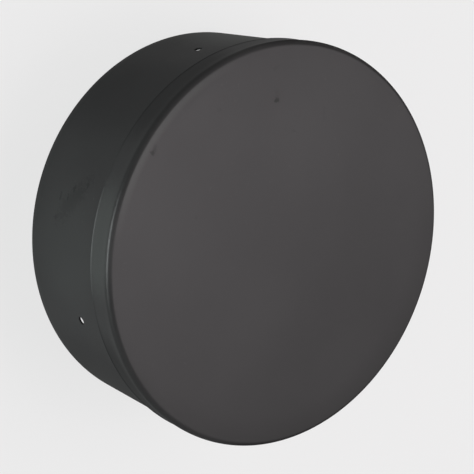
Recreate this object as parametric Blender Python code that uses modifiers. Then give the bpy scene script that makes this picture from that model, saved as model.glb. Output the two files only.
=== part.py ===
"""Cleanout cap for a six-inch stovepipe tee.

A collar rolled from sheet steel slips over the end of the pipe. A pressed end plate closes its front:
the plate's flange is lapped over the collar. The cap stands on its open rim, with its axis along +Z
and its origin at the centre of the rim. All lengths are in metres.
"""

import math

import bmesh
import bpy
from mathutils import Matrix

# Collar
COLLAR_BORE = 0.1524  # inside diameter, six inches nominal
COLLAR_SHEET = 0.0007

# End plate
CAP_DEPTH = 0.058  # open rim to the outside of the end plate
PLATE_SHEET = 0.0007
FLANGE_DEPTH = 0.012  # outside of the plate to the flange's cut edge
BEND_RADIUS = 0.0017  # inside radius of the bend between the plate and its flange
LAP_CLEARANCE = 0.0002  # all round, between the collar and the flange

# Screw holes through the collar
HOLE_DIAMETER = 0.0032
HOLE_COUNT = 4
HOLE_FROM_RIM = 0.031
FIRST_HOLE_ANGLE = math.radians(45)
CUTTER_OVERRUN = 0.002  # how far a hole's cutter stands out of each side of the sheet

# Smoothness of the round shapes
ROUND_STEPS = 144
BEND_STEPS = 6
HOLE_STEPS = 24

# Satin black paint, in linear colour
COLLAR_PAINT = (0.036, 0.037, 0.037, 1.0)
PLATE_PAINT = (0.042, 0.041, 0.041, 1.0)
PAINT_ROUGHNESS = 0.42

MERGE_DISTANCE = 0.00001

collar_radius = COLLAR_BORE / 2 + COLLAR_SHEET
flange_radius = collar_radius + LAP_CLEARANCE + PLATE_SHEET
outer_bend_radius = BEND_RADIUS + PLATE_SHEET
# The collar's front edge stops where the bend inside the plate begins.
collar_length = CAP_DEPTH - PLATE_SHEET - BEND_RADIUS


def clear_scene():
    """Remove whatever the scene holds."""
    for item in list(bpy.data.objects):
        bpy.data.objects.remove(item, do_unlink=True)


def new_collection(name):
    """Add a collection to the scene."""
    collection = bpy.data.collections.new(name)
    bpy.context.scene.collection.children.link(collection)
    return collection


def painted_steel(name, colour):
    """Make the satin paint of one piece."""
    material = bpy.data.materials.new(name)
    material.use_nodes = True
    shader = material.node_tree.nodes["Principled BSDF"]
    shader.inputs["Base Color"].default_value = colour
    shader.inputs["Roughness"].default_value = PAINT_ROUGHNESS
    shader.inputs["Metallic"].default_value = 0.0
    return material


def turned_sheet(name, profile, sheet, collection, material):
    """Turn an outer profile of (radius, height) points about Z, and thicken it inwards to a sheet."""
    mesh = bpy.data.meshes.new(name)
    outline = bmesh.new()
    points = [outline.verts.new((radius, 0.0, height)) for radius, height in profile]
    for upper, lower in zip(points, points[1:]):
        outline.edges.new((upper, lower))
    outline.to_mesh(mesh)
    outline.free()
    mesh.materials.append(material)
    piece = bpy.data.objects.new(name, mesh)
    collection.objects.link(piece)

    turn = piece.modifiers.new("turn", "SCREW")
    turn.axis = "Z"
    turn.angle = math.tau
    turn.steps = ROUND_STEPS
    turn.render_steps = ROUND_STEPS
    turn.use_merge_vertices = True
    turn.merge_threshold = MERGE_DISTANCE
    turn.use_smooth_shade = True

    thicken = piece.modifiers.new("sheet", "SOLIDIFY")
    thicken.thickness = sheet
    thicken.offset = -1.0
    thicken.use_even_offset = True
    return piece


def keep_flats_flat(piece):
    """Weigh the shading by area, so that the flats don't shade like pillows."""
    shading = piece.modifiers.new("shading", "WEIGHTED_NORMAL")
    shading.mode = "FACE_AREA"
    shading.weight = 100


def hole_cutters(collection):
    """Make one object that holds a radial rod for each screw hole."""
    mesh = bpy.data.meshes.new("screw_hole_cutters")
    rods = bmesh.new()
    middle_of_sheet = collar_radius - COLLAR_SHEET / 2
    for index in range(HOLE_COUNT):
        angle = FIRST_HOLE_ANGLE + index * math.tau / HOLE_COUNT
        outwards = Matrix.Rotation(angle, 4, "Z") @ Matrix.Translation((middle_of_sheet, 0.0, HOLE_FROM_RIM))
        bmesh.ops.create_cone(
            rods,
            cap_ends=True,
            segments=HOLE_STEPS,
            radius1=HOLE_DIAMETER / 2,
            radius2=HOLE_DIAMETER / 2,
            depth=COLLAR_SHEET + 2 * CUTTER_OVERRUN,
            matrix=outwards @ Matrix.Rotation(math.pi / 2, 4, "Y"),
        )
    rods.to_mesh(mesh)
    rods.free()
    cutters = bpy.data.objects.new("screw_hole_cutters", mesh)
    cutters.hide_render = True
    cutters.display_type = "WIRE"
    collection.objects.link(cutters)
    return cutters


def make_collar(collection, cutters):
    """The rolled collar: a plain ring of sheet with its screw holes."""
    profile = [(collar_radius, collar_length), (collar_radius, 0.0)]
    material = painted_steel("collar_paint", COLLAR_PAINT)
    collar = turned_sheet("collar", profile, COLLAR_SHEET, collection, material)
    holes = collar.modifiers.new("screw_holes", "BOOLEAN")
    holes.operation = "DIFFERENCE"
    holes.solver = "EXACT"
    holes.object = cutters
    keep_flats_flat(collar)
    return collar


def make_end_plate(collection):
    """The pressed end plate: a flat disc that bends down into the flange. Its origin is the face's centre."""
    bend_centre = flange_radius - outer_bend_radius
    profile = [(0.0, 0.0)]
    for step in range(BEND_STEPS + 1):
        turn = step / BEND_STEPS * math.pi / 2
        radius = bend_centre + outer_bend_radius * math.sin(turn)
        height = outer_bend_radius * (math.cos(turn) - 1)
        profile.append((radius, height))
    profile.append((flange_radius, -FLANGE_DEPTH))
    material = painted_steel("end_plate_paint", PLATE_PAINT)
    end_plate = turned_sheet("end_plate", profile, PLATE_SHEET, collection, material)
    keep_flats_flat(end_plate)
    end_plate.location.z = CAP_DEPTH
    return end_plate


clear_scene()
cap_parts = new_collection("cleanout_cap")
cutter_parts = new_collection("cutters")

cap = bpy.data.objects.new("cap_axis", None)
cap.empty_display_size = CAP_DEPTH
cap_parts.objects.link(cap)

make_collar(cap_parts, hole_cutters(cutter_parts)).parent = cap
make_end_plate(cap_parts).parent = cap
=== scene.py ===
import math

import bmesh
import bpy
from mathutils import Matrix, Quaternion, Vector


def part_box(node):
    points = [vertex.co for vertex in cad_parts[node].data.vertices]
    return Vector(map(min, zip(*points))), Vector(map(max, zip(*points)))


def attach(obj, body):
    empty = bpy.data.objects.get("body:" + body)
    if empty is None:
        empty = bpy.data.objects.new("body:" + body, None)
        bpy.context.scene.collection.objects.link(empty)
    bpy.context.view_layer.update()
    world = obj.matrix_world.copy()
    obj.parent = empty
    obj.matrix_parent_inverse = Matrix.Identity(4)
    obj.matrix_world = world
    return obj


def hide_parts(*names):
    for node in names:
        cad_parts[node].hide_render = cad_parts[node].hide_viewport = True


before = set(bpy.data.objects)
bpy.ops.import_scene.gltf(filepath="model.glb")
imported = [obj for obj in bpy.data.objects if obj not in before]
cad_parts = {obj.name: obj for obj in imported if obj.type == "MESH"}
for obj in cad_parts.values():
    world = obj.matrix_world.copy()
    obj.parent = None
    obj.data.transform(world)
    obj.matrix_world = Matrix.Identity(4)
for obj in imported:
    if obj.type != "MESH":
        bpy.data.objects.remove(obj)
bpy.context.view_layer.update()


# Collar
# A strip of 24 gauge sheet steel is rolled into a ring and butt welded where its ends meet, at the back.
# Four screw holes are punched through it, and it is sprayed with heat-resistant satin black paint.

COLLAR_SHEET = 0.0007
COLLAR_SIDES = 360
COLLAR_ROWS = 18
SEAM_WIDTH = 0.0022
SEAM_HEIGHT = 0.00012
SEAM_COLUMNS = 8
ROLLED_UNEVENNESS = 0.00008
UNEVEN_PATCH = 0.05
HOLE_DIAMETER = 0.0032
HOLE_FROM_RIM = 0.031
HOLE_COUNT = 4
HOLE_SIDES = 40
FIRST_HOLE_ANGLE = math.radians(45)
PUNCH_LENGTH = 0.0056
CUT_EDGE_RADIUS = 0.00012
CUT_EDGE_SEGMENTS = 2
CUT_EDGE_ANGLE = math.radians(40)
CREASE_ANGLE = math.radians(30)
PICK_REACH = 0.00005


def select_only(piece, kind, wanted):
    """In edit mode, select only the verts or edges for which wanted(item) is true."""
    bpy.ops.mesh.select_mode(type={"verts": "VERT", "edges": "EDGE"}[kind])
    bpy.ops.mesh.select_all(action="DESELECT")
    shape = bmesh.from_edit_mesh(piece.data)
    for item in getattr(shape, kind):
        if wanted(item):
            item.select_set(True)
    shape.select_flush_mode()
    bmesh.update_edit_mesh(piece.data)


def apply_modifier(piece, kind, **settings):
    """Add a modifier, set it and apply it."""
    modifier = piece.modifiers.new(kind.lower(), kind)
    for name, value in settings.items():
        setattr(modifier, name, value)
    bpy.context.view_layer.objects.active = piece
    bpy.ops.object.modifier_apply(modifier=modifier.name)


def uneven(name):
    """A soft noise, for the slight unevenness of pressed or rolled sheet."""
    texture = bpy.data.textures.new(name, "CLOUDS")
    texture.noise_scale = UNEVEN_PATCH
    texture.noise_depth = 1
    return texture


def break_cut_edges(piece, radius):
    """Round the sharp edges that the shears and the punch leave."""
    apply_modifier(
        piece,
        "BEVEL",
        width=radius,
        segments=CUT_EDGE_SEGMENTS,
        limit_method="ANGLE",
        angle_limit=CUT_EDGE_ANGLE,
    )


collar_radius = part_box("collar")[1].x
collar_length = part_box("collar")[1].z
flange_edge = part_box("end_plate")[0].z
bpy.ops.object.select_all(action="DESELECT")
bpy.ops.mesh.primitive_cylinder_add(
    vertices=COLLAR_SIDES,
    radius=collar_radius,
    depth=collar_length,
    end_fill_type="NOTHING",
    location=(0, 0, collar_length / 2),
)
collar = bpy.context.object
collar.name = "collar_ring"
bpy.ops.object.transform_apply(location=True, rotation=False, scale=False)

# The seam: the upright edge at the back is opened into narrow columns, and those below the flange are
# raised to a low bead.
bpy.ops.object.mode_set(mode="EDIT")
select_only(
    collar,
    "edges",
    lambda edge: all(abs(vertex.co.x) < PICK_REACH and vertex.co.y > 0 for vertex in edge.verts),
)
bpy.ops.mesh.bevel(offset=SEAM_WIDTH / 2, segments=SEAM_COLUMNS, affect="EDGES")
select_only(
    collar,
    "edges",
    lambda edge: abs(edge.verts[0].co.z - edge.verts[1].co.z) > collar_length / 2,
)
bpy.ops.mesh.subdivide(number_cuts=COLLAR_ROWS - 1)
for column in range(1, SEAM_COLUMNS):
    across = SEAM_WIDTH * (column / SEAM_COLUMNS - 0.5)
    lift = SEAM_HEIGHT * math.cos(math.pi * across / SEAM_WIDTH) ** 2
    select_only(
        collar,
        "verts",
        lambda vertex: (
            abs(vertex.co.x - across) < PICK_REACH and vertex.co.y > 0 and vertex.co.z < flange_edge
        ),
    )
    bpy.ops.transform.translate(value=(0, lift, 0))
bpy.ops.object.mode_set(mode="OBJECT")

apply_modifier(
    collar,
    "DISPLACE",
    texture=uneven("rolled_sheet"),
    texture_coords="LOCAL",
    strength=ROLLED_UNEVENNESS,
    mid_level=1.0,
)
apply_modifier(collar, "SOLIDIFY", thickness=COLLAR_SHEET, offset=-1.0, use_even_offset=True)
for index in range(HOLE_COUNT):
    angle = FIRST_HOLE_ANGLE + index * math.tau / HOLE_COUNT
    radius = collar_radius - COLLAR_SHEET / 2
    bpy.ops.object.select_all(action="DESELECT")
    bpy.ops.mesh.primitive_cylinder_add(
        vertices=HOLE_SIDES,
        radius=HOLE_DIAMETER / 2,
        depth=PUNCH_LENGTH,
        location=(radius * math.cos(angle), radius * math.sin(angle), HOLE_FROM_RIM),
        rotation=(0, math.pi / 2, angle),
    )
    punch = bpy.context.object
    apply_modifier(collar, "BOOLEAN", operation="DIFFERENCE", solver="EXACT", object=punch)
    bpy.data.objects.remove(punch, do_unlink=True)
break_cut_edges(collar, CUT_EDGE_RADIUS)


def node(tree, kind, place, **settings):
    """Add a node at a place in the tree, with the given properties."""
    made = tree.nodes.new(kind)
    made.location = place
    for name, value in settings.items():
        setattr(made, name, value)
    return made


def feed(tree, socket, value):
    """Give an input a number or a colour, or link it to a socket."""
    if isinstance(value, (int, float, tuple)):
        socket.default_value = value
    else:
        tree.links.new(value, socket)


def noise(tree, place, coordinates, size, detail, roughness=0.5):
    """Add a noise whose lumps are about the given size across, in metres."""
    made = node(tree, "ShaderNodeTexNoise", place)
    made.inputs["Scale"].default_value = 1 / size
    made.inputs["Detail"].default_value = detail
    made.inputs["Roughness"].default_value = roughness
    tree.links.new(coordinates, made.inputs["Vector"])
    return made.outputs["Fac"]


def remap(tree, place, value, low, high, to_low, to_high):
    """Turn one range of a value into another, with soft ends."""
    made = node(tree, "ShaderNodeMapRange", place, interpolation_type="SMOOTHSTEP")
    for name, number in (("From Min", low), ("From Max", high), ("To Min", to_low), ("To Max", to_high)):
        made.inputs[name].default_value = number
    tree.links.new(value, made.inputs["Value"])
    return made.outputs["Result"]


def arithmetic(tree, place, operation, *terms):
    """Add a math node. Each term is a socket or a number."""
    made = node(tree, "ShaderNodeMath", place, operation=operation)
    for index, term in enumerate(terms):
        feed(tree, made.inputs[index], term)
    return made.outputs["Value"]


def blend(tree, place, share, first, second, mode="MIX"):
    """Mix two colours. Each of them is a socket or a colour."""
    made = node(tree, "ShaderNodeMix", place, data_type="RGBA", blend_type=mode)
    for name, value in (("Factor_Float", share), ("A_Color", first), ("B_Color", second)):
        feed(tree, next(s for s in made.inputs if s.identifier == name), value)
    return next(s for s in made.outputs if s.identifier == "Result_Color")


def new_group(name, inputs, outputs):
    """Start a node group with named sockets, and return it with its input and output nodes."""
    group = bpy.data.node_groups.new(name, "ShaderNodeTree")
    for title, kind in inputs:
        group.interface.new_socket(title, in_out="INPUT", socket_type="NodeSocket" + kind)
    for title, kind in outputs:
        group.interface.new_socket(title, in_out="OUTPUT", socket_type="NodeSocket" + kind)
    return group, node(group, "NodeGroupInput", (-1400, 0)), node(group, "NodeGroupOutput", (900, 0))


# The sprayed paint: a fine grain, slight clouds where the coats overlap, and dust that lies in drifts.
# A noise runs from about NOISE_LOW to about NOISE_HIGH.
NOISE_LOW = 0.3
NOISE_HIGH = 0.7
GRAIN_SIZE = 0.0007
GRAIN_DEPTH = 0.00001
CLOUD_SIZE = 0.045
CLOUD_DARK = 0.96
CLOUD_PALE = 1.04
SPECK_SIZE = 0.0016
SPECK_FROM = 0.68
SPECK_FULL = 0.80
DRIFT_SIZE = 0.03
DRIFT_FROM = 0.45
DRIFT_FULL = 0.75
LEAST_DRIFT = 0.15
DUST_COLOUR = (0.11, 0.11, 0.105, 1.0)

satin, group_in, group_out = new_group(
    "satin_paint_surface",
    (
        ("Coordinates", "Vector"),
        ("Colour", "Color"),
        ("Dust", "Float"),
        ("Satin", "Float"),
        ("Spread", "Float"),
    ),
    (("Colour", "Color"), ("Satin", "Float"), ("Height", "Float")),
)
place = group_in.outputs["Coordinates"]
grain = noise(satin, (-1100, -300), place, GRAIN_SIZE, detail=2.0)
clouds = noise(satin, (-1100, 0), place, CLOUD_SIZE, detail=3.0)
specks = noise(satin, (-1100, 300), place, SPECK_SIZE, detail=1.0)
drifts = noise(satin, (-1100, 550), place, DRIFT_SIZE, detail=3.0, roughness=0.6)
cloud_tone = remap(satin, (-850, 100), clouds, NOISE_LOW, NOISE_HIGH, CLOUD_DARK, CLOUD_PALE)
tone = node(satin, "ShaderNodeCombineColor", (-600, 100))
for channel in ("Red", "Green", "Blue"):
    satin.links.new(cloud_tone, tone.inputs[channel])
cloudy = blend(satin, (-350, 100), 1.0, group_in.outputs["Colour"], tone.outputs["Color"], "MULTIPLY")
speck_mask = remap(satin, (-850, 300), specks, SPECK_FROM, SPECK_FULL, 0.0, 1.0)
drift_mask = remap(satin, (-850, 550), drifts, DRIFT_FROM, DRIFT_FULL, LEAST_DRIFT, 1.0)
dust_mask = arithmetic(satin, (-600, 400), "MULTIPLY", speck_mask, drift_mask)
dust_share = arithmetic(satin, (-350, 400), "MULTIPLY", dust_mask, group_in.outputs["Dust"])
dusty = blend(satin, (-100, 200), dust_share, cloudy, DUST_COLOUR)
satin.links.new(dusty, group_out.inputs["Colour"])
patchy = remap(satin, (-600, -150), clouds, NOISE_LOW, NOISE_HIGH, -0.5, 0.5)
spread = arithmetic(satin, (-350, -150), "MULTIPLY", patchy, group_in.outputs["Spread"])
uneven_satin = arithmetic(satin, (-100, -150), "ADD", spread, group_in.outputs["Satin"])
satin.links.new(uneven_satin, group_out.inputs["Satin"])
satin.links.new(grain, group_out.inputs["Height"])

# One mask in the paint, used for the dark marks and for the patches of painted shade and painted highlight:
# a spot that reaches a given size from its place along each of its axes. It is full out to MARK_CORE of
# that size and then fades. Its outline is frayed by a noise.
MARK_CORE = 0.35
FRAY_SIZE = 0.0012

mark, group_in, group_out = new_group(
    "paint_mark",
    (
        ("Coordinates", "Vector"),
        ("Place", "Vector"),
        ("Size", "Vector"),
        ("Turn", "Vector"),
        ("Fray", "Float"),
        ("Strength", "Float"),
    ),
    (("Mask", "Float"),),
)
offset = node(mark, "ShaderNodeVectorMath", (-1100, 100), operation="SUBTRACT")
mark.links.new(group_in.outputs["Coordinates"], offset.inputs[0])
mark.links.new(group_in.outputs["Place"], offset.inputs[1])
turned = node(mark, "ShaderNodeVectorRotate", (-900, 100), rotation_type="EULER_XYZ", invert=True)
mark.links.new(offset.outputs["Vector"], turned.inputs["Vector"])
mark.links.new(group_in.outputs["Turn"], turned.inputs["Rotation"])
scaled = node(mark, "ShaderNodeVectorMath", (-700, 100), operation="DIVIDE")
mark.links.new(turned.outputs["Vector"], scaled.inputs[0])
mark.links.new(group_in.outputs["Size"], scaled.inputs[1])
reach = node(mark, "ShaderNodeVectorMath", (-500, 100), operation="LENGTH")
mark.links.new(scaled.outputs["Vector"], reach.inputs[0])
ragged = noise(mark, (-900, -200), group_in.outputs["Coordinates"], FRAY_SIZE, detail=2.0)
frayed = remap(mark, (-600, -200), ragged, NOISE_LOW, NOISE_HIGH, -1.0, 1.0)
edge = arithmetic(mark, (-300, 0), "MULTIPLY_ADD", frayed, group_in.outputs["Fray"], reach.outputs["Value"])
inside = remap(mark, (-50, 0), edge, MARK_CORE, 1.0, 1.0, 0.0)
strong = arithmetic(mark, (300, 0), "MULTIPLY", inside, group_in.outputs["Strength"])
mark.links.new(strong, group_out.inputs["Mask"])

WIDE_MARK = 0.02
SMALL_FRAY = 0.3
WIDE_FRAY = 0.04


def spots(tree, coordinates, marks, corner):
    """One mask for a list of (place, size, turn, strength). Small marks are frayed, wide ones are soft."""
    x, y = corner
    total = 0.0
    for spot, size, turn, strength in marks:
        one = node(tree, "ShaderNodeGroup", (x, y), node_tree=mark)
        tree.links.new(coordinates, one.inputs["Coordinates"])
        one.inputs["Place"].default_value = spot
        one.inputs["Size"].default_value = size
        one.inputs["Turn"].default_value = turn
        one.inputs["Fray"].default_value = SMALL_FRAY if max(size) < WIDE_MARK else WIDE_FRAY
        one.inputs["Strength"].default_value = strength
        total = arithmetic(tree, (x + 300, y), "MAXIMUM", one.outputs["Mask"], total)
        x += 60
        y -= 180
    return total


BLACK_PAINT = (0.030, 0.030, 0.030, 1.0)
DARK_MARK_AND_SHADE_PAINT = (0.015, 0.015, 0.015, 1.0)
PAINTED_HIGHLIGHT_COLOUR = (0.056, 0.059, 0.057, 1.0)
SATIN = 0.18
MARKED_LOSS = 0.8


def start_paint(name, coat_roughness, dust, spread, marks):
    """Start a piece's paint, a matt black under a thin satin coat, with its dark marks and its patches of
    painted shade.

    Returns the material, its coordinates, its colour so far, the satin of the sprayed surface, and the
    share of that satin that the piece keeps so far.
    """
    material = bpy.data.materials.new(name)
    material.use_nodes = True
    tree = material.node_tree
    shader = tree.nodes["Principled BSDF"]
    shader.inputs["Metallic"].default_value = 0.0
    shader.inputs["IOR"].default_value = 1.5
    shader.inputs["Roughness"].default_value = 0.6
    shader.inputs["Specular IOR Level"].default_value = 0.0
    shader.inputs["Coat Roughness"].default_value = coat_roughness
    shader.inputs["Coat IOR"].default_value = 1.5
    where = node(tree, "ShaderNodeTexCoord", (-2600, 0)).outputs["Object"]
    surface = node(tree, "ShaderNodeGroup", (-1800, 400), node_tree=satin)
    tree.links.new(where, surface.inputs["Coordinates"])
    surface.inputs["Colour"].default_value = BLACK_PAINT
    surface.inputs["Dust"].default_value = dust
    surface.inputs["Satin"].default_value = SATIN
    surface.inputs["Spread"].default_value = spread
    grain_bump = node(tree, "ShaderNodeBump", (-300, -300))
    grain_bump.inputs["Distance"].default_value = GRAIN_DEPTH
    grain_bump.inputs["Strength"].default_value = 1.0
    tree.links.new(surface.outputs["Height"], grain_bump.inputs["Height"])
    tree.links.new(grain_bump.outputs["Normal"], shader.inputs["Normal"])
    # The dark mask holds small dark marks and also wide patches of painted shade.
    dark_marks_and_shade = spots(tree, where, marks, (-2300, -200))
    colour = blend(tree, (-1200, 300), dark_marks_and_shade, surface.outputs["Colour"], DARK_MARK_AND_SHADE_PAINT)
    satin_kept = arithmetic(tree, (-1200, -100), "MULTIPLY_ADD", dark_marks_and_shade, -MARKED_LOSS, 1.0)
    return material, where, colour, surface.outputs["Satin"], satin_kept


def finish_paint(material, colour, sprayed_satin, satin_kept):
    """Give the shader its colour and its satin coat."""
    tree = material.node_tree
    shader = tree.nodes["Principled BSDF"]
    coat = arithmetic(tree, (-500, 0), "MULTIPLY", sprayed_satin, satin_kept)
    tree.links.new(colour, shader.inputs["Base Color"])
    tree.links.new(coat, shader.inputs["Coat Weight"])


def finish_piece(piece, body, node_name, material):
    """Shade a finished piece, paint it and hang it on the frame in place of its CAD node."""
    bpy.ops.object.select_all(action="DESELECT")
    piece.select_set(True)
    bpy.context.view_layer.objects.active = piece
    bpy.ops.object.shade_smooth_by_angle(angle=CREASE_ANGLE)
    piece.data.materials.clear()
    piece.data.materials.append(material)
    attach(piece, body)
    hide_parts(node_name)


def on_wall(azimuth, height):
    """The place on the collar's outside at an azimuth in degrees, 0 in front, and a height."""
    turn = math.radians(azimuth)
    return (collar_radius * math.sin(turn), -collar_radius * math.cos(turn), height)


def facing(azimuth):
    """The turn of a mark whose second axis goes through the wall at an azimuth in degrees."""
    return (0, 0, math.radians(azimuth))


# Each mark is (place, size, turn, strength). A soft dark patch and five small dark streaks are close
# together on the front, and two wide stretches to the sides are darkened, a painted shade. Two more wide
# stretches are lightened, a painted highlight.
WALL_MARKS_AND_SHADE = (
    (on_wall(11.5, 0.0268), (0.0170, 0.0060, 0.0055), (0, 0.785, 0), 0.30),
    (on_wall(11.5, 0.0178), (0.0020, 0.0030, 0.0009), (0, 0, 0), 0.50),
    (on_wall(11.3, 0.0230), (0.0020, 0.0030, 0.0008), (0, 0, 0), 0.55),
    (on_wall(8.4, 0.0262), (0.0024, 0.0030, 0.0012), (0, 0.4, 0), 0.50),
    (on_wall(6.8, 0.0344), (0.0022, 0.0030, 0.0010), (0, 0, 0), 0.45),
    (on_wall(17.5, 0.0170), (0.0022, 0.0030, 0.0010), (0, 0.6, 0), 0.45),
    # The next two are wide patches of painted shade.
    (on_wall(68, 0.0280), (0.0340, 0.0200, 0.0500), facing(68), 0.32),
    (on_wall(-22, 0.0300), (0.0260, 0.0200, 0.0500), facing(-22), 0.20),
)
PAINTED_HIGHLIGHT_WALL = (
    (on_wall(24, 0.0260), (0.0300, 0.0200, 0.0350), facing(24), 0.20),
    (on_wall(-68, 0.0280), (0.0340, 0.0200, 0.0500), facing(-68), 0.80),
)

collar_paint, where, colour, sprayed_satin, satin_kept = start_paint(
    "collar_satin_black",
    coat_roughness=0.42,
    dust=0.15,
    spread=0.02,
    marks=WALL_MARKS_AND_SHADE,
)
tree = collar_paint.node_tree
# Two wide stretches of the wall are lightened in colour, a painted highlight.
painted_highlight = spots(tree, where, PAINTED_HIGHLIGHT_WALL, (-2300, -2200))
colour = blend(tree, (-1000, 300), painted_highlight, colour, PAINTED_HIGHLIGHT_COLOUR)
finish_paint(collar_paint, colour, sprayed_satin, satin_kept)
finish_piece(collar, "root", "collar", collar_paint)


# End plate
# A disc of the same sheet is pressed to a flat face with a soft shoulder, a round bend and a short flange.
# The flange is a tight fit over the collar, a little waisted, and its cut edge is turned outwards.

PLATE_SHEET = 0.0007
PLATE_SIDES = 360
PLATE_BEND = 0.0024
BEND_STEPS = 12
SHOULDER_WIDTH = 0.0095
SHOULDER_DROP = 0.00025
SHOULDER_RINGS = 9
PLATE_EDGE_RADIUS = 0.00006
PRESSED_UNEVENNESS = 0.00004
FLAT_FADE = 0.012

# The flange, from its cut edge up: height above that edge, and how far it lies inside the widest part.
WAIST = (
    (0.0, 0.0),
    (0.00015, 0.00008),
    (0.00030, 0.00016),
    (0.00042, 0.00019),
    (0.0006, 0.00020),
    (0.0020, 0.00020),
    (0.0050, 0.00020),
    (0.0064, 0.00020),
    (0.0076, 0.00016),
    (0.0087, 0.00008),
    (0.0096, 0.0),
)

plate_low, plate_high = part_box("end_plate")
plate_radius = plate_high.x
rings = [(plate_radius - inward, plate_low.z + height) for height, inward in WAIST]
for step in range(1, BEND_STEPS + 1):
    turn = step / BEND_STEPS * math.pi / 2
    radius = plate_radius - PLATE_BEND * (1 - math.cos(turn))
    drop = PLATE_BEND * (1 - math.sin(turn)) + SHOULDER_DROP * math.sin(turn) ** 4
    rings.append((radius, plate_high.z - drop))
for ring in range(1, SHOULDER_RINGS + 1):
    share = ring / SHOULDER_RINGS
    radius = plate_radius - PLATE_BEND - share * SHOULDER_WIDTH
    rings.append((radius, plate_high.z - SHOULDER_DROP * (1 - share) ** 2))

bpy.ops.object.select_all(action="DESELECT")
bpy.ops.mesh.primitive_circle_add(vertices=PLATE_SIDES, radius=plate_radius, location=(0, 0, plate_low.z))
end_plate = bpy.context.object
end_plate.name = "pressed_end_plate"
bpy.ops.object.transform_apply(location=True, rotation=False, scale=False)
bpy.ops.object.mode_set(mode="EDIT")
bpy.ops.mesh.select_mode(type="EDGE")
bpy.ops.mesh.select_all(action="SELECT")
for (radius, height), (next_radius, next_height) in zip(rings, rings[1:]):
    bpy.ops.mesh.extrude_region_move(TRANSFORM_OT_translate={"value": (0, 0, next_height - height)})
    bpy.ops.transform.resize(value=(next_radius / radius, next_radius / radius, 1))
bpy.ops.mesh.fill_grid(span=PLATE_SIDES // 4)
bpy.ops.mesh.select_all(action="SELECT")
bpy.ops.mesh.normals_make_consistent(inside=False)
bpy.ops.object.mode_set(mode="OBJECT")
if max(end_plate.data.polygons, key=lambda face: face.center.z).normal.z < 0:
    end_plate.data.flip_normals()

# The unevenness of the pressed sheet is only in the flat face, and fades out towards the shoulder.
flat = end_plate.vertex_groups.new(name="flat")
flat_radius = rings[-1][0]
for vertex in end_plate.data.vertices:
    weight = min(1.0, (flat_radius - vertex.co.xy.length) / FLAT_FADE)
    if weight > 0:
        flat.add([vertex.index], weight, "REPLACE")
apply_modifier(
    end_plate,
    "DISPLACE",
    texture=uneven("pressed_sheet"),
    texture_coords="LOCAL",
    direction="Z",
    strength=PRESSED_UNEVENNESS,
    mid_level=1.0,
    vertex_group="flat",
)
apply_modifier(end_plate, "SOLIDIFY", thickness=PLATE_SHEET, offset=-1.0, use_even_offset=True)
break_cut_edges(end_plate, PLATE_EDGE_RADIUS)


def on_face(x, y):
    """The place on the flat face at x to the right and y to the back."""
    return (x, y, plate_high.z)


# Small dark nicks and scratches on the face, and two wide stretches of the flange darkened, a painted
# shade.
PLATE_MARKS_AND_SHADE = (
    (on_face(-0.0468, -0.0320), (0.0013, 0.0013, 0.001), (0, 0, 0), 0.60),
    (on_face(-0.0487, -0.0331), (0.0032, 0.0014, 0.001), (0, 0, 0.6), 0.10),
    (on_face(-0.0570, -0.0378), (0.0028, 0.0008, 0.001), (0, 0, -0.45), 0.12),
    (on_face(-0.0515, -0.0090), (0.0034, 0.0010, 0.001), (0, 0, 0.55), 0.10),
    (on_face(-0.0402, -0.0192), (0.0009, 0.0012, 0.001), (0, 0, 0), 0.15),
    (on_face(-0.0090, -0.0722), (0.0012, 0.0012, 0.001), (0, 0, 0), 0.50),
    (on_face(-0.0109, -0.0721), (0.0018, 0.0010, 0.001), (0, 0, 0), 0.25),
    (on_face(-0.0336, -0.0535), (0.0010, 0.0020, 0.001), (0, 0, 0.3), 0.12),
    (on_face(0.0043, -0.0447), (0.0009, 0.0009, 0.001), (0, 0, 0), 0.15),
    # The next two, on the flange, are painted shade.
    (on_wall(63, 0.0480), (0.0370, 0.0080, 0.0120), facing(63), 0.55),
    (on_wall(-26, 0.0500), (0.0400, 0.0080, 0.0120), facing(-26), 0.40),
)
# One stretch of the flange is lightened, a painted highlight, and one stretch of the narrow ring just
# inside the bend gets a painted glint.
PAINTED_HIGHLIGHT_FLANGE = ((on_wall(19, 0.0508), (0.0280, 0.0120, 0.0120), facing(19), 0.75),)
PAINTED_GLINT_RING = ((on_wall(-12, 0.0580), (0.0480, 0.0300, 0.0100), facing(-12), 0.60),)
RING_INSIDE = 0.0725
RING_RISE = 0.0027
RING_FALL = 0.0007
PAINTED_BEND_SHADE = (0.024, 0.024, 0.024, 1.0)
BEND_INSET = 0.0004
BEND_FADE = 0.0008
RIM_START = 0.0002
RIM_FADE = 0.0007
DULL_LEFT = -0.070
DULL_LEFT_FADE = 0.015
DULL_BACK_FADE = 0.020
BURNISHED_GAIN = 3.0
DULL_LOSS = 0.9

plate_paint, where, colour, sprayed_satin, satin_kept = start_paint(
    "end_plate_satin_black",
    coat_roughness=0.35,
    dust=0.10,
    spread=0.01,
    marks=PLATE_MARKS_AND_SHADE,
)
tree = plate_paint.node_tree
across = node(tree, "ShaderNodeVectorMath", (-2300, 900), operation="MULTIPLY")
tree.links.new(where, across.inputs[0])
across.inputs[1].default_value = (1.0, 1.0, 0.0)
from_axis = node(tree, "ShaderNodeVectorMath", (-2100, 900), operation="LENGTH")
tree.links.new(across.outputs["Vector"], from_axis.inputs[0])
distance = from_axis.outputs["Value"]
axes = node(tree, "ShaderNodeSeparateXYZ", (-2300, 700))
tree.links.new(where, axes.inputs["Vector"])
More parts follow.
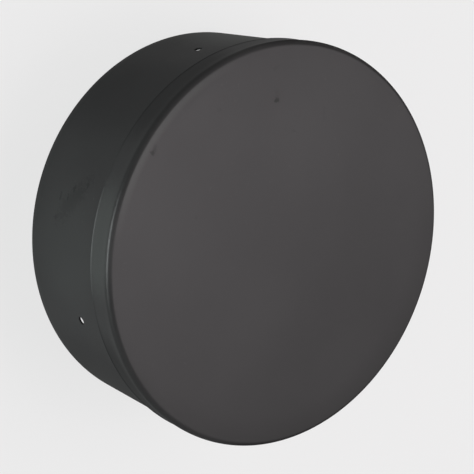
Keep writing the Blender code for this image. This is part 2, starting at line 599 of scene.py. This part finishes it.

# The bend is darkened all round, a painted shade. Where the flange has its painted highlight, the bend and
# the cut edge shine more.
bend_start = plate_radius - PLATE_BEND + BEND_INSET
bend_low = plate_high.z - PLATE_BEND
rim_low = plate_low.z + RIM_START
side = remap(tree, (-1900, 900), distance, bend_start, bend_start + BEND_FADE, 0.0, 1.0)
upper = remap(tree, (-1900, 650), axes.outputs["Z"], bend_low, bend_low + BEND_FADE, 0.0, 1.0)
bend = arithmetic(tree, (-1600, 800), "MULTIPLY", side, upper)
rim = remap(tree, (-1900, 400), axes.outputs["Z"], rim_low, rim_low + RIM_FADE, 1.0, 0.0)
flange_spot = spots(tree, where, PAINTED_HIGHLIGHT_FLANGE, (-2300, -2200))
painted_highlight = arithmetic(tree, (-1600, -400), "MULTIPLY", side, flange_spot)
ring_rise = remap(tree, (-1900, -250), distance, RING_INSIDE, RING_INSIDE + RING_RISE, 0.0, 1.0)
ring_fall = remap(tree, (-1900, -450), distance, bend_start, bend_start + RING_FALL, 1.0, 0.0)
ring = arithmetic(tree, (-1700, -300), "MULTIPLY", ring_rise, ring_fall)
ring_spot = spots(tree, where, PAINTED_GLINT_RING, (-2300, -3000))
painted_glint = arithmetic(tree, (-1500, -300), "MULTIPLY", ring, ring_spot)
# A painted highlight on the flange, a painted glint on the ring inside the bend, and painted shade on the
# bend.
colour = blend(tree, (-1050, 300), painted_highlight, colour, PAINTED_HIGHLIGHT_COLOUR)
colour = blend(tree, (-900, 300), painted_glint, colour, PAINTED_HIGHLIGHT_COLOUR)
colour = blend(tree, (-700, 300), bend, colour, PAINTED_BEND_SHADE)
corners = arithmetic(tree, (-1350, -400), "MAXIMUM", bend, rim)
burnished = arithmetic(tree, (-1150, -400), "MULTIPLY", corners, painted_highlight)
satin_kept = arithmetic(tree, (-1000, -250), "MULTIPLY_ADD", burnished, BURNISHED_GAIN, satin_kept)

# The bend has lost its satin along the left and the back.
left = remap(tree, (-1900, 150), axes.outputs["X"], DULL_LEFT, DULL_LEFT + DULL_LEFT_FADE, 1.0, 0.0)
back = remap(tree, (-1900, -50), axes.outputs["Y"], 0.0, DULL_BACK_FADE, 0.0, 1.0)
left_or_back = arithmetic(tree, (-1750, 50), "MAXIMUM", left, back)
dull = arithmetic(tree, (-1600, 500), "MULTIPLY", left_or_back, bend)
satin_kept = arithmetic(tree, (-850, -250), "MULTIPLY_ADD", dull, -DULL_LOSS, satin_kept)
finish_paint(plate_paint, colour, sprayed_satin, satin_kept)
finish_piece(end_plate, "root", "end_plate", plate_paint)


# Floor and backdrop
# The cap stands on its open rim on a plain pale floor, which runs on to the horizon and takes its shadow.
# The camera and the gloss of the paint see the floor and the world in nearly the same pale tone.

FLOOR_SIZE = 6.0
FLOOR_COLOUR = (0.4, 0.4, 0.4, 1.0)
FLOOR_TONE = (0.94, 0.94, 0.94, 1.0)
FLOOR_TONE_SHARE = 0.8
BACKDROP_COLOUR = (0.83, 0.83, 0.83, 1.0)
AMBIENT = 0.08


def seen_pale(tree, place):
    """1 for the rays that show the pale surroundings: from the camera, in gloss and through glass."""
    x, y = place
    rays = node(tree, "ShaderNodeLightPath", (x, y))
    seen = rays.outputs["Is Camera Ray"]
    for kind in ("Is Glossy Ray", "Is Transmission Ray"):
        x += 200
        seen = arithmetic(tree, (x, y), "MAXIMUM", seen, rays.outputs[kind])
    return seen


bpy.ops.object.select_all(action="DESELECT")
bpy.ops.mesh.primitive_plane_add(size=FLOOR_SIZE, location=(0, 0, 0))
floor = bpy.context.object
floor.name = "floor"
floor_material = bpy.data.materials.new("pale_floor")
floor_material.use_nodes = True
tree = floor_material.node_tree
floor_shader = tree.nodes["Principled BSDF"]
floor_shader.inputs["Base Color"].default_value = FLOOR_COLOUR
floor_shader.inputs["Roughness"].default_value = 0.9
floor_shader.inputs["Specular IOR Level"].default_value = 0.1
even_tone = node(tree, "ShaderNodeEmission", (0, 400))
even_tone.inputs["Color"].default_value = FLOOR_TONE
mixed = node(tree, "ShaderNodeMixShader", (400, 200))
tone_share = arithmetic(tree, (100, 600), "MULTIPLY", seen_pale(tree, (-500, 600)), FLOOR_TONE_SHARE)
tree.links.new(tone_share, mixed.inputs["Fac"])
tree.links.new(floor_shader.outputs["BSDF"], mixed.inputs[1])
tree.links.new(even_tone.outputs["Emission"], mixed.inputs[2])
tree.links.new(mixed.outputs["Shader"], tree.nodes["Material Output"].inputs["Surface"])
floor.data.materials.append(floor_material)

world = bpy.data.worlds.new("studio")
bpy.context.scene.world = world
world.use_nodes = True
tree = world.node_tree
ambient = tree.nodes["Background"]
ambient.inputs["Color"].default_value = (1.0, 1.0, 1.0, 1.0)
ambient.inputs["Strength"].default_value = AMBIENT
backdrop = node(tree, "ShaderNodeBackground", (0, -200))
backdrop.inputs["Color"].default_value = BACKDROP_COLOUR
mixed = node(tree, "ShaderNodeMixShader", (250, 100))
tree.links.new(seen_pale(tree, (-500, 300)), mixed.inputs["Fac"])
tree.links.new(ambient.outputs["Background"], mixed.inputs[1])
tree.links.new(backdrop.outputs["Background"], mixed.inputs[2])
tree.links.new(mixed.outputs["Shader"], tree.nodes["World Output"].inputs["Surface"])


# Camera
# The photograph looks down at the end plate from in front, with the camera turned on its side, so that
# the cap's axis points to the right of the picture and a little down.

VIEW_AZIMUTH = math.radians(5.9)
VIEW_ELEVATION = math.radians(51.87)
VIEW_ROLL = math.radians(108.30)
VIEW_DISTANCE = 0.4767
VIEW_RIGHT = -0.01895
VIEW_UP = 0.00444
LENS = 96.25
SENSOR_WIDTH = 36.0
CLIP_START = 0.01

towards_camera = Vector((
    math.sin(VIEW_AZIMUTH) * math.cos(VIEW_ELEVATION),
    -math.cos(VIEW_AZIMUTH) * math.cos(VIEW_ELEVATION),
    math.sin(VIEW_ELEVATION),
))
camera_data = bpy.data.cameras.new("camera")
camera_data.lens = LENS
camera_data.sensor_width = SENSOR_WIDTH
camera_data.clip_start = CLIP_START
camera = bpy.data.objects.new("camera", camera_data)
bpy.context.scene.collection.objects.link(camera)
bpy.context.scene.camera = camera
view_turn = (-towards_camera).to_track_quat("-Z", "Y") @ Quaternion((0, 0, 1), VIEW_ROLL)
camera.rotation_euler = view_turn.to_euler()
aim = Vector((0, 0, plate_high.z)) + view_turn @ Vector((VIEW_RIGHT, VIEW_UP, 0))
camera.location = aim + VIEW_DISTANCE * towards_camera


# Lamps
# Soft panels, as in a small product studio. Three hang high behind the cap, and the end plate mirrors
# them. Two stand low on the left, and small ones in front light the wall and draw a line along the bend.
# All but the first three have a grid, which keeps their light on the cap and off the floor.

WARM = (1.0, 0.93, 0.96)
COOL = (0.915, 0.985, 0.985)
PLAIN = (1.0, 0.99, 0.96)
GRID_REACH = math.radians(45)
PANEL_AIM = Vector((0, 0, 0.03))
FAR = 1.2
NEAR = 0.6
SMALL = 0.20


def panel(name, azimuth, elevation, distance, size, brightness, colour, grid=False):
    """Hang a square soft panel towards the cap. Azimuth 0 is in front of it, and 90 to its right."""
    data = bpy.data.lights.new(name, "AREA")
    data.shape = "SQUARE"
    data.size = size
    data.color = colour
    data.energy = math.pi * size ** 2 * brightness
    if grid:
        # All of the power goes into a narrower cone, so less of it gives the same brightness.
        data.spread = 2 * GRID_REACH
        data.energy *= 1 - GRID_REACH / math.tan(GRID_REACH)
    lamp = bpy.data.objects.new(name, data)
    bpy.context.scene.collection.objects.link(lamp)
    turn, lift = math.radians(azimuth), math.radians(elevation)
    direction = Vector((math.sin(turn) * math.cos(lift), -math.cos(turn) * math.cos(lift), math.sin(lift)))
    lamp.location = PANEL_AIM + distance * direction
    lamp.rotation_euler = direction.to_track_quat("Z", "Y").to_euler()


panel("back_panel_high", 180, 64, FAR, 0.55, 8.9, WARM)
panel("back_panel_side", 225, 64, FAR, 0.55, 4.1, WARM)
panel("back_panel_low", 210, 42, FAR, 0.50, 3.5, WARM)
panel("left_panel", 247.5, 21, FAR, 0.45, 3.0, PLAIN, grid=True)
panel("left_panel_low", 247.5, 6, FAR, 0.36, 13.3, PLAIN, grid=True)
panel("front_panel_15", 15, 5, NEAR, SMALL, 7.1, COOL, grid=True)
panel("front_panel_30", 30, 5, NEAR, SMALL, 9.1, COOL, grid=True)
panel("front_panel_45", 45, 5, NEAR, SMALL, 5.9, COOL, grid=True)
panel("front_panel_60", 60, 5, NEAR, SMALL, 1.8, COOL, grid=True)
panel("front_panel_30_high", 30, 15, NEAR, SMALL, 2.7, COOL, grid=True)
panel("front_panel_45_high", 45, 15, NEAR, SMALL, 1.8, COOL, grid=True)

bpy.context.scene.view_settings.view_transform = "Standard"
